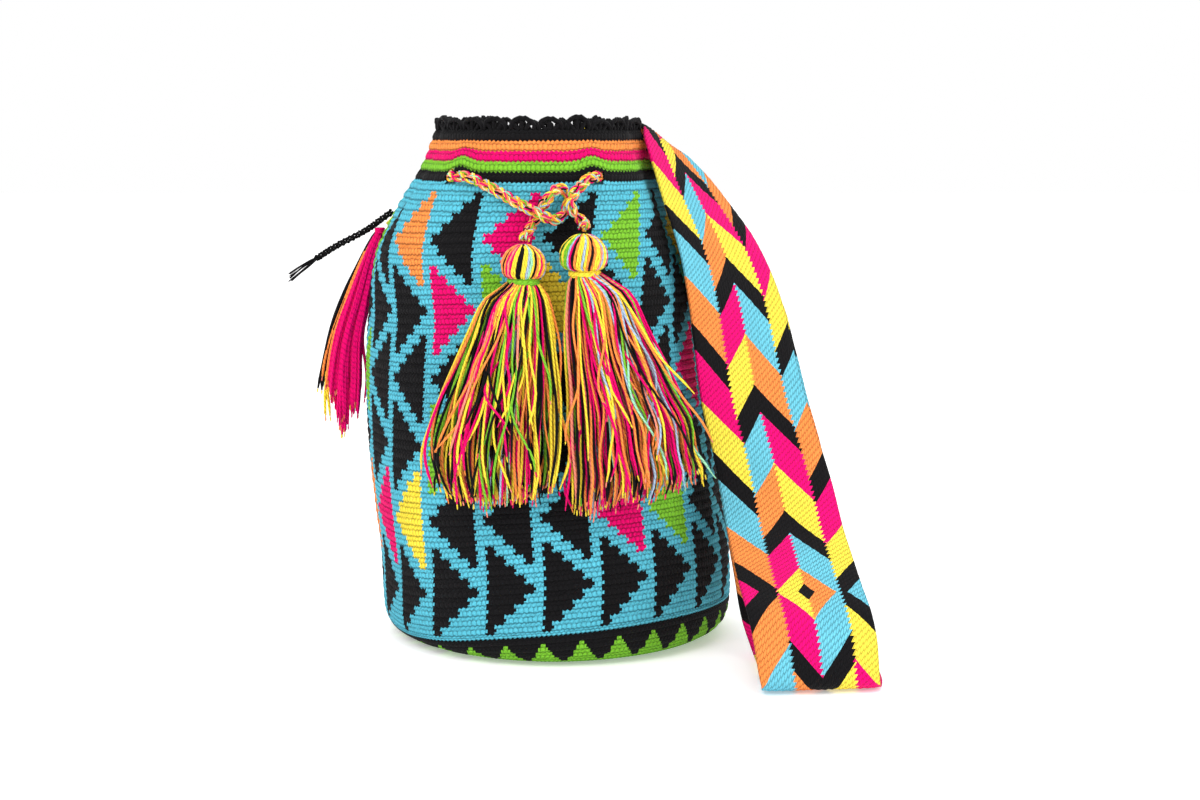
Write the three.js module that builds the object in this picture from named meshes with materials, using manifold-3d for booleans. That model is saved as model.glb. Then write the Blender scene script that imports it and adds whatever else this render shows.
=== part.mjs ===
// A crocheted shoulder bag: one-piece body with a gathered mouth, a flat woven strap,
// a braided drawstring with two tassels, and a fringe and a braid on its left side.
// Millimetres, +Z up. The centre of the flat base is the origin, and the front faces -Y.
import * as THREE from 'three';
import { mergeVertices } from 'three/addons/utils/BufferGeometryUtils.js';
import Module from 'manifold-3d';

const wasm = await Module();
wasm.setup();

const RAD = Math.PI / 180;
const V = (x, y, z) => new THREE.Vector3(x, y, z);

// ---- driving dimensions -------------------------------------------------
const RIM_HEIGHT = 300;          // top of the plain black row, under the lace
const LACE_HEIGHT = 7;           // how far the scallops stand above it
const LACE_COUNT = 40;           // scallops round the mouth, three stitches each
const WALL = 3;                  // crocheted wall
const AROUND = 120;              // facets round the body, one for each stitch
const STRAP_THICK = 2.6;
const CORD_DIAMETER = 6;
const BRAID_DIAMETER = 4;
const HEAD_RADIUS = 12;          // tassels: head, neck and the yarn tied round the neck
const HEAD_SQUASH = 0.92;
const NECK_RADIUS = 7.2;
const NECK_LENGTH = 4.2;
const TIE_YARN = 3.2;
const THREAD = 1.2;              // of the stitches that hold the strap's ends
const STITCHES = 13;
const GAP = 0.35;                // left between pieces that touch

// ---- colours ------------------------------------------------------------
const TURQUOISE = 0x5ec6da;
const BLACK = 0x1b1a1c;
const ORANGE = 0xff9a4a;
const MAGENTA = 0xf4058c;
const LIME = 0x7fd12a;
const YELLOW = 0xfff04a;

function piece(name, geometry, color, roughness = 0.9) {
  const material = new THREE.MeshStandardMaterial({ color, roughness, metalness: 0 });
  const mesh = new THREE.Mesh(geometry, material);
  mesh.name = name;
  return mesh;
}

// ---- small maths --------------------------------------------------------
const lerp = (a, b, t) => a + (b - a) * t;
const clamp01 = (t) => Math.min(1, Math.max(0, t));

function smooth(edge0, edge1, x) {
  const t = clamp01((x - edge0) / (edge1 - edge0));
  return t * t * (3 - 2 * t);
}

// A value that runs smoothly through rows of [height, value].
function through(rows, z) {
  const last = rows.length - 1;
  if (z <= rows[0][0]) return rows[0][1];
  if (z >= rows[last][0]) return rows[last][1];
  let i = 0;
  while (z > rows[i + 1][0]) i += 1;
  const slope = (k) => (rows[Math.min(k + 1, last)][1] - rows[Math.max(k - 1, 0)][1])
    / (rows[Math.min(k + 1, last)][0] - rows[Math.max(k - 1, 0)][0]);
  const h = rows[i + 1][0] - rows[i][0];
  const t = (z - rows[i][0]) / h;
  const t2 = t * t;
  const t3 = t2 * t;
  return (2 * t3 - 3 * t2 + 1) * rows[i][1] + (t3 - 2 * t2 + t) * h * slope(i)
    + (3 * t2 - 2 * t3) * rows[i + 1][1] + (t3 - t2) * h * slope(i + 1);
}

// ---- the bag's surface --------------------------------------------------
// [height, half width], [height, half depth] and [height, centre shift in X]
const HALF_WIDTH = [[0, 84], [2.5, 95], [9, 102.5], [24, 105], [60, 105], [107, 103.7], [138, 102.2],
  [168, 100], [199, 96.8], [229, 91], [241, 86], [256, 79], [270, 71.7], [279, 67.5], [288, 64], [300, 60]];
const HALF_DEPTH = [[0, 97], [2.5, 104.5], [9, 109.5], [24, 111], [60, 109.5], [138, 104.5], [199, 99.5],
  [229, 95], [256, 88], [270, 84], [288, 79], [300, 76]];
const CENTRE_X = [[0, 0], [46, -1], [77, -5], [107, -9], [138, -12], [168, -14], [199, -15],
  [229, -16.5], [256, -14.7], [279, -11.6], [300, -11]];

const PLEATS = 12;               // gathers round the sides and the back
const PLEAT_DEPTH = 3;            // the pleats go in by 1.5 times and out by half of it
const MOUTH_SPREAD = 0.8;        // how much wider the ungathered front stitches lie at the rim

const pleatDepth = (z) => PLEAT_DEPTH * smooth(205, 285, z);

// phi is the angle from the front, clockwise seen from above, so +phi is towards -X.
function pleat(phi, z) {
  const side = smooth(52, 78, Math.abs(phi) / RAD);
  const uneven = 0.7 * Math.sin(3 * phi + 1) + 0.4 * Math.sin(7 * phi);
  return pleatDepth(z) * side * (Math.cos(PLEATS * phi + uneven) - 0.5);
}

// A point of the surface, moved outwards by `out`.
function onBag(phi, z, out = 0) {
  const a = through(HALF_WIDTH, z);
  const b = through(HALF_DEPTH, z);
  const r = out + pleat(phi, z);
  const n = Math.hypot(Math.sin(phi) / a, Math.cos(phi) / b);
  const x = through(CENTRE_X, z) - Math.sin(phi) * (a + r / (a * n));
  const y = -Math.cos(phi) * (b + r / (b * n));
  return V(x, y, z);
}

// The angle at which stitch angle s lies: the front is spread at the mouth, the sides are gathered.
function stitchAngle(s, z) {
  const k = MOUTH_SPREAD * clamp01((z - 190) / (RIM_HEIGHT - 190)) ** 2.3;
  return s + k * Math.sin(s) * (1 + Math.cos(s)) / 2;
}

// ---- closed meshes ------------------------------------------------------
function closedGeometry(points, faces) {
  const geometry = new THREE.BufferGeometry();
  geometry.setAttribute('position', new THREE.Float32BufferAttribute(points.flatMap((p) => [p.x, p.y, p.z]), 3));
  geometry.setIndex(faces);
  geometry.computeVertexNormals();
  return geometry;
}

// Joins closed rings of points into one solid, with a fan on each end.
function loft(rings) {
  const n = rings[0].length;
  const points = rings.flat();
  const faces = [];
  for (let i = 0; i + 1 < rings.length; i += 1) {
    for (let j = 0; j < n; j += 1) {
      const a = i * n + j;
      const b = i * n + (j + 1) % n;
      faces.push(a, b, b + n, a, b + n, a + n);
    }
  }
  const cap = (ring, first, flip) => {
    const middle = ring.reduce((sum, p) => sum.add(p), V(0, 0, 0)).divideScalar(n);
    points.push(middle);
    for (let j = 0; j < n; j += 1) {
      const a = first + j;
      const b = first + (j + 1) % n;
      faces.push(...(flip ? [a, points.length - 1, b] : [a, b, points.length - 1]));
    }
  };
  cap(rings[0], 0, true);
  cap(rings[rings.length - 1], (rings.length - 1) * n, false);
  return closedGeometry(points, faces);
}

function toManifold(geometry) {
  const bare = geometry.clone();
  bare.deleteAttribute('normal');
  bare.deleteAttribute('uv');
  const merged = mergeVertices(bare, 1e-4);
  return new wasm.Manifold(new wasm.Mesh({
    numProp: 3,
    vertProperties: new Float32Array(merged.attributes.position.array),
    triVerts: new Uint32Array(merged.index.array),
  }));
}

function fromManifold(solid) {
  const mesh = solid.getMesh();
  const geometry = new THREE.BufferGeometry();
  geometry.setAttribute('position', new THREE.BufferAttribute(mesh.vertProperties, 3));
  geometry.setIndex(new THREE.BufferAttribute(mesh.triVerts, 1));
  geometry.computeVertexNormals();
  return geometry;
}

// A round cord along a smooth curve through the points.
function cord(points, diameter, sides = 8, steps = 60) {
  const curve = new THREE.CatmullRomCurve3(points, false, 'centripetal');
  const section = new THREE.Shape();
  for (let i = 0; i < sides; i += 1) {
    const angle = (i + 0.5) / sides * 2 * Math.PI;
    const x = Math.cos(angle) * diameter / 2;
    const y = Math.sin(angle) * diameter / 2;
    if (i === 0) section.moveTo(x, y);
    else section.lineTo(x, y);
  }
  section.closePath();
  return new THREE.ExtrudeGeometry(section, { steps, bevelEnabled: false, extrudePath: curve });
}

// ---- body: base, wall, striped rim and lace, crocheted as one -----------
function bagBody(cuts) {
  const outer = [0, 2.5, 9, 24, 60, 107, 150, 199, 222, 241, 256, 270, 285, RIM_HEIGHT];
  const ring = (z, out, lift) => {
    const points = [];
    for (let j = 0; j < AROUND; j += 1) {
      const s = Math.PI - j / AROUND * 2 * Math.PI;
      const scallop = Math.abs(Math.sin(s * LACE_COUNT / 2));
      points.push(onBag(stitchAngle(s, z), z, out).setZ(z + lift * (0.25 + 0.75 * scallop)));
    }
    return points;
  };
  const rings = outer.map((z) => ring(z, 0, 0));
  rings.push(ring(RIM_HEIGHT, -0.4, LACE_HEIGHT));
  rings.push(ring(RIM_HEIGHT, -WALL + 0.4, LACE_HEIGHT));
  for (const z of outer.slice(3).reverse()) rings.push(ring(z, -WALL, 0));
  rings.push(ring(9, -WALL - 1, 0));
  rings.push(ring(4.5, -WALL - 5, 0));
  rings.push(ring(3.5, -WALL - 14, 0));
  const solid = toManifold(loft(rings));
  return fromManifold(cuts.reduce((body, cut) => body.subtract(toManifold(cut)), solid));
}

// ---- drawstring ---------------------------------------------------------
// In from the left tassel, through the left front eyelet, along the inside of the mouth,
// out and in again at the back, and out through the right front eyelet to the right tassel.
const EYELET_HEIGHT = 274;
const EYELET_LEFT = 38 * RAD;
const EYELET_RIGHT = -30 * RAD;
const EYELETS_BACK = 160 * RAD;
const INSIDE = -(WALL + 1.5 * PLEAT_DEPTH + CORD_DIAMETER / 2 + 1.2);
const OUTSIDE = PLEAT_DEPTH + CORD_DIAMETER / 2 + 1.2;

function roundTheMouth(fromAngle, toAngle, out, count) {
  const points = [];
  for (let i = 0; i <= count; i += 1) {
    points.push(onSmoothBag(lerp(fromAngle, toAngle, i / count), EYELET_HEIGHT, out));
  }
  return points;
}

// The same surface without its pleats.
function onSmoothBag(phi, z, out) {
  const flat = onBag(phi, z, 0);
  const drop = onBag(phi, z, out - pleat(phi, z));
  return drop.setZ(flat.z);
}

const LEFT_TAIL = [                       // from the left tassel up to the left eyelet
  V(-15.8, -107.4, 240), V(-15, -103, 242.4), V(-13, -98, 245.6), V(-10.8, -94.4, 249.4),
  V(-8.8, -92.2, 253.2), V(-5.4, -94, 258.8), V(-2, -95.4, 263.4), V(2.2, -92.6, 267.4), V(6.2, -88.4, 266.6),
  V(7.6, -86.9, 261.9), V(7, -89, 256.6), V(4.4, -93.6, 252.2), V(-0.4, -98, 250.8), V(-7.3, -99, 253.9),
  V(-18.5, -92.8, 259.2), V(-29.7, -87.6, 265.2), V(-41.2, -81.4, 271.2), V(-48, -76.2, 273.8),
];
const RIGHT_TAIL = [                      // from the right eyelet down to the right tassel
  V(19.5, -80.2, 273), V(14, -86, 267.6), V(10.5, -93.2, 262.8), V(9.8, -96.2, 258.2),
  V(12.2, -93.6, 253.8), V(16, -93.4, 249.8), V(17.6, -97, 248), V(17.2, -103.4, 247.4), V(16.9, -108, 246.4),
];

function drawstringPath() {
  return [
    ...LEFT_TAIL,
    onSmoothBag(EYELET_LEFT + 3 * RAD, EYELET_HEIGHT, 1),
    ...roundTheMouth(EYELET_LEFT + 12 * RAD, EYELETS_BACK - 10 * RAD, INSIDE, 12),
    onSmoothBag(EYELETS_BACK, EYELET_HEIGHT, 0),
    ...roundTheMouth(EYELETS_BACK + 10 * RAD, 350 * RAD - EYELETS_BACK, OUTSIDE, 3),
    onSmoothBag(360 * RAD - EYELETS_BACK, EYELET_HEIGHT, 0),
    ...roundTheMouth(370 * RAD - EYELETS_BACK, EYELET_RIGHT + 348 * RAD, INSIDE, 12),
    onSmoothBag(EYELET_RIGHT - 1 * RAD, EYELET_HEIGHT, 1),
    ...RIGHT_TAIL,
  ];
}

// The holes that the cord goes through: short stretches of the same route, a little fatter.
function eyeletCuts(path) {
  const crossings = [LEFT_TAIL.length, LEFT_TAIL.length + 14, LEFT_TAIL.length + 19, path.length - RIGHT_TAIL.length - 1];
  return crossings.map((i) => {
    const stretch = new THREE.CatmullRomCurve3(path.slice(i - 2, i + 3), false, 'centripetal').getPoints(24);
    return cord(stretch.slice(5, 20), CORD_DIAMETER + 2.4, 10, 16);
  });
}

// ---- tassels ------------------------------------------------------------
// rows: [centre x, centre y, z, half width, half depth], top first
function bundle(rows, sides = 24) {
  const rings = rows.map(([cx, cy, z, a, b]) => {
    const points = [];
    for (let j = 0; j < sides; j += 1) {
      const angle = -j / sides * 2 * Math.PI;
      points.push(V(cx + a * Math.cos(angle), cy + b * Math.sin(angle), z));
    }
    return points;
  });
  return loft(rings);
}

// A round head on a narrow neck; `head` is its centre.
function headRows(head, radius, neck) {
  const rows = [];
  for (const angle of [8, 25, 45, 65, 90, 115, 130]) {
    const r = radius * Math.sin(angle * RAD);
    rows.push([head.x, head.y, head.z + HEAD_SQUASH * radius * Math.cos(angle * RAD), r, r]);
  }
  for (const z of [neck.z + NECK_LENGTH / 2, neck.z - NECK_LENGTH / 2]) {
    rows.push([neck.x, neck.y, z, NECK_RADIUS, NECK_RADIUS]);
  }
  return rows;
}

function neckTie(neck) {
  const ring = new THREE.TorusGeometry(NECK_RADIUS + GAP + TIE_YARN / 2, TIE_YARN / 2, 10, 28);
  return ring.translate(neck.x, neck.y, neck.z);
}

// ---- strap --------------------------------------------------------------
// Rows across the band, [edge A, middle, edge B]. A is its upper edge behind the mouth and its
// left edge in front. `hug` lays a row on the bag, `flat` lays one that hangs or lies free.
function hug([degreesA, zA, outA], [degreesB, zB, outB]) {
  const point = (degrees, z, out) => onSmoothBag(degrees * RAD, z, out + pleatDepth(z) + STRAP_THICK / 2 + GAP);
  const middle = point((degreesA + degreesB) / 2, (zA + zB) / 2, (outA + outB) / 2);
  return [point(degreesA, zA, outA), middle, point(degreesB, zB, outB)];
}

function flat(a, b, bulge = 0) {
  const across = b.clone().sub(a);
  const outward = V(across.y, -across.x, 0).normalize();
  return [a, a.clone().lerp(b, 0.5).addScaledVector(outward, bulge), b];
}

function strapRows() {
  return [
    hug([153, 192, 2.5], [111, 192, 2.5]),          // sewn end, back left
    hug([153, 212, 1.5], [111, 212, 1.5]),
    hug([154, 238, 1.5], [111, 228, 1.5]),          // diagonal fold
    hug([155, 272, 1.5], [110.5, 238, 2]),
    hug([156, 288, 2.5], [110, 242, 3.5]),
    hug([158, 295, 6], [110, 243, 6.5]),
    hug([164, 297, 11], [114, 242, 8.5]),
    hug([178, 300, 11.5], [134, 241, 10.5]),         // round the back of the mouth
    hug([196, 302, 11], [172, 239, 9.5]),
    hug([216, 303, 9.5], [206, 238, 8.5]),
    hug([238, 304, 6], [230, 241, 6]),
    flat(V(46, 35, 304), V(70, 74, 266), 4),
    flat(V(52, 12, 303), V(74, 62, 280), 3),
    flat(V(52.5, -9, 296), V(78, 50, 284), 2),
    flat(V(57, -24, 280), V(89.3, 36, 274), 1),    // over the right of the rim
    flat(V(63.5, -38, 258), V(104, 18, 255.5)),
    flat(V(72, -48, 231), V(120, 0, 232)),
    flat(V(77, -56, 203), V(133, -16, 201)),
    flat(V(80.5, -63, 175), V(140, -28, 171)),
    flat(V(84, -68, 146), V(147, -41, 142)),
    flat(V(90.5, -75, 118), V(155.3, -53, 114)),
    flat(V(93.9, -90, 97), V(159.7, -72, 95)),
    flat(V(96.8, -110, 77), V(163.5, -97, 75)),
    flat(V(99.4, -134, 63), V(166.8, -124, 61)),
    flat(V(102.5, -155, 51), V(170.9, -146, 49)),
    flat(V(106.6, -167, 36), V(174, -158, 34)),
    flat(V(109.8, -170, 19), V(175.4, -161.5, 18)),
    flat(V(111.5, -170, 8), V(176, -162, 8)),    // fold on the floor
    flat(V(112.3, -166, 2.4), V(177.2, -158, 2.4)),
    flat(V(112, -154, 1.6), V(178, -146, 1.6)),
    flat(V(111, -130, 1.6), V(178, -122, 1.6)),
    flat(V(110, -104, 1.6), V(177, -96, 1.6)),
    flat(V(108, -80, 6), V(174, -69, 6)),    // back up behind the front layer
    flat(V(105, -68, 20), V(170, -53, 20)),
    flat(V(101, -64, 46), V(166, -44, 46)),
    flat(V(98, -62, 78), V(162, -38, 78)),
    flat(V(94, -58, 112), V(157, -32, 112)),
    flat(V(87, -52, 146), V(149, -22, 142)),
    flat(V(81, -48, 175), V(142, -14, 171)),
    flat(V(77.5, -44, 203), V(134, -2, 199)),
    flat(V(75, -35, 224), V(119, 16, 216)),
    flat(V(72.5, -28.5, 237), V(107, 30, 228), 1),
    flat(V(71.5, -25, 242.5), V(102, 37, 233), 1),
    flat(V(71, -23.5, 243.5), V(97, 41, 233.5), 2),
    flat(V(71.5, -26.5, 238), V(92.5, 40, 228), 3),
    hug([-75, 227, 1.5], [-116, 219, 2]),
    hug([-74, 212, 1.5], [-116, 209, 1.5]),
    hug([-74, 192, 2.5], [-116, 192, 2.5]),         // sewn end, right
  ];
}

// A flat band with square edges, swept through its rows.
function band(bandRows, thickness, steps, across) {
  const line = (k) => new THREE.CatmullRomCurve3(bandRows.map((row) => row[k]), false, 'centripetal');
  const [a, m, b] = [line(0), line(1), line(2)];
  const surface = (i, t) => {
    const u = Math.min(Math.max(i, 0), steps) / steps;
    return a.getPoint(u).multiplyScalar((1 - t) * (1 - 2 * t))
      .addScaledVector(m.getPoint(u), 4 * t * (1 - t)).addScaledVector(b.getPoint(u), t * (2 * t - 1));
  };
  const rings = [];
  for (let i = 0; i <= steps; i += 1) {
    const up = [];
    const down = [];
    for (let j = 0; j <= across; j += 1) {
      const t = j / across;
      const along = surface(i + 0.5, t).sub(surface(i - 0.5, t));
      const sideways = surface(i, Math.min(t + 0.05, 1)).sub(surface(i, Math.max(t - 0.05, 0)));
      const normal = along.cross(sideways).normalize();
      up.push(surface(i, t).addScaledVector(normal, thickness / 2));
      down.push(surface(i, t).addScaledVector(normal, -thickness / 2));
    }
    rings.push([...down, ...up.reverse()]);
  }
  return loft(rings);
}

// Whip stitches that hold a strap end: a thread in zigzag over the end edge, on the outer face.
function whipStitch(fromDegrees, toDegrees, lowZ, highZ) {
  const out = 2.5 + STRAP_THICK + 2 * GAP + THREAD / 2 + 0.3;
  const points = [];
  for (let i = 0; i <= STITCHES; i += 1) {
    const phi = lerp(fromDegrees, toDegrees, i / STITCHES) * RAD;
    const z = i % 2 === 0 ? lowZ : highZ;
    points.push(onSmoothBag(phi, z, out + pleatDepth(z)));
  }
  return cord(points, THREAD, 6, STITCHES * 4);
}

// ---- the bag ------------------------------------------------------------
const bag = new THREE.Group();
const path = drawstringPath();

bag.add(piece('bag_body', bagBody(eyeletCuts(path)), TURQUOISE, 0.95));
bag.add(piece('shoulder_strap', band(strapRows(), STRAP_THICK, 184, 6), ORANGE, 0.9));
bag.add(piece('drawstring', cord(path, CORD_DIAMETER, 8, 210), YELLOW));

const leftHead = V(-16, -108.8, 226.2);
const leftNeck = V(-16.2, -109.3, 217.2);
const rightHead = V(17, -110, 231.2);
const rightNeck = V(17.6, -110.2, 221.6);
const leftTassel = [
  ...headRows(leftHead, HEAD_RADIUS, leftNeck),
  [-17.5, -109.8, 213.2, 13, 8.2], [-20, -111, 207, 19, 9.2], [-22.5, -113, 190, 24.5, 9.8],
  [-25, -114.5, 174, 28.5, 10], [-27.5, -116, 157, 32.5, 10.3], [-30, -117.5, 141, 35, 10.6],
  [-32, -118.5, 124, 37, 11], [-32, -119.5, 108, 35, 10.8], [-31.5, -119.5, 99, 32, 9.5],
];
const rightTassel = [
  ...headRows(rightHead, HEAD_RADIUS + 0.8, rightNeck),
  [21, -110.8, 217.6, 13, 8.2], [25.5, -112, 210.5, 19, 9.2], [29, -113.7, 195, 23.5, 9.7],
  [34.3, -115.2, 174, 28, 10], [39, -116.3, 157, 31.5, 10.3], [43.5, -117.5, 141, 36.5, 10.6],
  [45, -118.3, 124, 37.5, 11], [47, -118.7, 111, 38, 10.8], [44, -118.8, 95, 34, 9.5],
];
bag.add(piece('tassel_left', bundle(leftTassel), LIME));
bag.add(piece('tassel_left_tie', neckTie(leftNeck), LIME));
bag.add(piece('tassel_right', bundle(rightTassel), MAGENTA));
bag.add(piece('tassel_right_tie', neckTie(rightNeck), ORANGE));

bag.add(piece('side_fringe', bundle([
  [-109.5, 14, 238, 2, 3], [-111, 14, 233, 4, 4.5], [-114.8, 14, 224, 5.5, 6], [-120.5, 14, 202, 7.5, 7.5],
  [-128, 14, 174, 9.5, 9], [-130.5, 14, 150, 11.5, 9.5], [-131, 14, 124, 11, 8.5],
], 16), MAGENTA));
bag.add(piece('side_braid', cord([
  V(-99.4, 14, 251.4), V(-106.4, 14, 246.4), V(-114.5, 14, 240.6), V(-124, 13.5, 235.4), V(-133, 13, 230.8), V(-146, 12, 222.6),
  V(-155, 11.5, 216.4), V(-162.6, 11, 211),
], BRAID_DIAMETER, 8, 24), BLACK));
bag.add(piece('strap_seam_left', whipStitch(114, 150, 194, 199), BLACK));
bag.add(piece('strap_seam_right', whipStitch(-113, -77, 194, 199), BLACK));

export default bag;
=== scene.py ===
# %% [markdown]
# # A crocheted shoulder bag
# The construction (sizes, pieces, joints) comes in as a fixed frame. Here the bag gets its looks:
# crochet stitches, woven stripes, a braided cord, and tassels made of single strands of yarn.
# All the maths below is in millimetres and turned into metres when a mesh is made.

# %% Load the frame
import math

import bmesh
import bpy
import numpy as np
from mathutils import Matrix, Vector


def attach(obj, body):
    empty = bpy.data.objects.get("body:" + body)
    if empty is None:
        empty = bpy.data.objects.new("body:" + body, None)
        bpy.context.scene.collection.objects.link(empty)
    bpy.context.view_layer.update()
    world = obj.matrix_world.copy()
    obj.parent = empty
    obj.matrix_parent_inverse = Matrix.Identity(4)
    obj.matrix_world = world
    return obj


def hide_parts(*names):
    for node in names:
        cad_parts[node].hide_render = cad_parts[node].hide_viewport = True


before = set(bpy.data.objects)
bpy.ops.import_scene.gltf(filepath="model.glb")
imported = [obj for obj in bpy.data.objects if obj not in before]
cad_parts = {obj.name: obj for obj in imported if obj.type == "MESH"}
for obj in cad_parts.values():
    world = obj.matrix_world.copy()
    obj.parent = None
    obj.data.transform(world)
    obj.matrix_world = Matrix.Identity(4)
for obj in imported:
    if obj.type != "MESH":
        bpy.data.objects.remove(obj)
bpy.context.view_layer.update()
for selected in bpy.context.selected_objects:
    selected.select_set(False)

MM = 0.001
TAU = 2 * math.pi

# %% [markdown]
# ## Colours
# The yarn colours are written as screen (sRGB) values, because those are easy to compare by eye,
# and a small function turns them into the linear values that shaders work with.

# %% Yarn colours
def linear(hex_colour):
    parts = [int(hex_colour[i:i + 2], 16) / 255 for i in (0, 2, 4)]
    return [c / 12.92 if c <= 0.04045 else ((c + 0.055) / 1.055) ** 2.4 for c in parts] + [1.0]


YARN = {
    "turquoise": linear("56B8CE"),
    "black": linear("100F11"),
    "orange": linear("F68F45"),
    "magenta": linear("E60069"),
    "lime": linear("79BE30"),
    "yellow": linear("F8DC40"),
    "mint": linear("9ADCB4"),
    "blue_grey": linear("A3B9D2"),
    "salmon": linear("F98F78"),
    "cream": linear("F8E9A6"),
}
print("yarn colours:", ", ".join(YARN))

# %% [markdown]
# ## Camera, floor and light
# The camera stands 1.3 m in front at the height of the bag's mouth and looks slightly down.
# The floor is a wide pale sheet that the white world light washes out.

# %% Camera
camera_data = bpy.data.cameras.new("camera")
camera = bpy.data.objects.new("camera", camera_data)
bpy.context.scene.collection.objects.link(camera)
camera.location = (0.026, -1.300, 0.300)
camera.rotation_euler = (math.radians(90 - 7.1), 0, 0)
camera_data.sensor_width = 36
camera_data.lens = 65.01
bpy.context.scene.camera = camera
print("lens", round(camera_data.lens, 1), "mm")

# %% Floor
bpy.ops.mesh.primitive_plane_add(size=12, location=(0, 3, -0.0006))
floor = bpy.context.object
floor.name = "floor"
floor.select_set(False)
floor_material = bpy.data.materials.new("pale floor")
floor_material.use_nodes = True
floor_shader = floor_material.node_tree.nodes["Principled BSDF"]
floor_shader.inputs["Base Color"].default_value = (0.94, 0.94, 0.94, 1)
floor_shader.inputs["Roughness"].default_value = 0.7
floor_shader.inputs["Emission Color"].default_value = (1, 1, 1, 1)
floor_shader.inputs["Emission Strength"].default_value = 0.3
floor.data.materials.append(floor_material)


# %% Lights
def area_light(name, place, target, size, watts):
    data = bpy.data.lights.new(name, "AREA")
    data.size = size
    data.energy = watts
    light = bpy.data.objects.new(name, data)
    light.location = place
    light.rotation_euler = (Vector(target) - Vector(place)).to_track_quat("-Z", "Y").to_euler()
    bpy.context.scene.collection.objects.link(light)
    return light


area_light("key", (-0.9, -1.5, 1.6), (0, 0, 0.15), 1.2, 21)
area_light("fill", (1.5, -1.2, 1.0), (0, 0, 0.15), 1.4, 13)
area_light("top", (0.1, 0.2, 1.9), (0, 0, 0.2), 1.4, 11)
world = bpy.data.worlds.new("studio")
bpy.context.scene.world = world
world.use_nodes = True
world.node_tree.nodes["Background"].inputs["Color"].default_value = (1, 1, 1, 1)
world.node_tree.nodes["Background"].inputs["Strength"].default_value = 1.0
bpy.context.scene.view_settings.view_transform = "Standard"

# %% [markdown]
# ## Node helpers
# A material is a small network. These helpers add a node, set its values and link its inputs in
# one line, so that each material further down reads like a recipe.


# %% Node helpers
class Net:
    """A node tree that is written line by line."""

    def __init__(self, tree):
        self.tree = tree

    def node(self, kind, **settings):
        made = self.tree.nodes.new(kind)
        for key, value in settings.items():
            setattr(made, key, value)
        return made

    def put(self, socket, value):
        if isinstance(value, bpy.types.NodeSocket):
            self.tree.links.new(value, socket)
        else:
            socket.default_value = value

    def math(self, operation, a, b=0.0, c=0.0):
        made = self.node("ShaderNodeMath", operation=operation)
        for socket, value in zip(made.inputs, (a, b, c)):
            self.put(socket, value)
        return made.outputs[0]

    def mix(self, factor, a, b, blend="MIX"):
        made = self.node("ShaderNodeMix", data_type="RGBA", blend_type=blend)
        self.put(made.inputs[0], factor)
        self.put(made.inputs[6], a)
        self.put(made.inputs[7], b)
        return made.outputs[2]

    def grey(self, value):
        made = self.node("ShaderNodeCombineColor")
        for socket in made.inputs:
            self.put(socket, value)
        return made.outputs[0]

    def noise(self, vector, scale, detail=2.0):
        made = self.node("ShaderNodeTexNoise")
        self.put(made.inputs["Vector"], vector)
        self.put(made.inputs["Scale"], scale)
        self.put(made.inputs["Detail"], detail)
        return made.outputs["Fac"]

    def remap(self, value, low, high, to_low=0.0, to_high=1.0):
        made = self.node("ShaderNodeMapRange")
        for index, number in enumerate((value, low, high, to_low, to_high)):
            self.put(made.inputs[index], number)
        return made.outputs[0]

    def bump(self, height, distance, strength=1.0):
        made = self.node("ShaderNodeBump")
        self.put(made.inputs["Height"], height)
        self.put(made.inputs["Distance"], distance)
        self.put(made.inputs["Strength"], strength)
        return made.outputs["Normal"]


def new_material(name):
    made = bpy.data.materials.new(name)
    made.use_nodes = True
    net = Net(made.node_tree)
    shader = made.node_tree.nodes["Principled BSDF"]
    shader.inputs["Roughness"].default_value = 0.85
    shader.inputs["Specular IOR Level"].default_value = 0.1
    shader.inputs["Sheen Weight"].default_value = 0.02
    return made, net, shader


# %% [markdown]
# ## Yarn fuzz
# Every yarn on the bag has the same faint unevenness: the dye takes a little differently from
# place to place, and loose fibres roughen the surface. That is one node group with a scale, used
# in every material.

# %% Yarn fuzz group
fuzz = bpy.data.node_groups.new("yarn fuzz", "ShaderNodeTree")
fuzz.interface.new_socket("Color", in_out="INPUT", socket_type="NodeSocketColor")
fuzz.interface.new_socket("Fibre scale", in_out="INPUT", socket_type="NodeSocketFloat")
fuzz.interface.new_socket("Color", in_out="OUTPUT", socket_type="NodeSocketColor")
fuzz.interface.new_socket("Height", in_out="OUTPUT", socket_type="NodeSocketFloat")
fuzz_net = Net(fuzz)
fuzz_in = fuzz_net.node("NodeGroupInput")
fuzz_out = fuzz_net.node("NodeGroupOutput")
fuzz_place = fuzz_net.node("ShaderNodeTexCoord").outputs["Object"]
fibres = fuzz_net.noise(fuzz_place, fuzz_in.outputs["Fibre scale"], 3.0)
dye = fuzz_net.noise(fuzz_place, 60.0, 2.0)
shade = fuzz_net.math("MULTIPLY", fuzz_net.remap(fibres, 0.3, 0.7, 0.82, 1.10),
                      fuzz_net.remap(dye, 0.3, 0.7, 0.95, 1.04))
dyed = fuzz_net.mix(1.0, fuzz_in.outputs["Color"], fuzz_net.grey(shade), "MULTIPLY")
fuzz_net.put(fuzz_out.inputs["Color"], dyed)
fuzz_net.put(fuzz_out.inputs["Height"], fibres)
print("node group:", fuzz.name)


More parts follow.
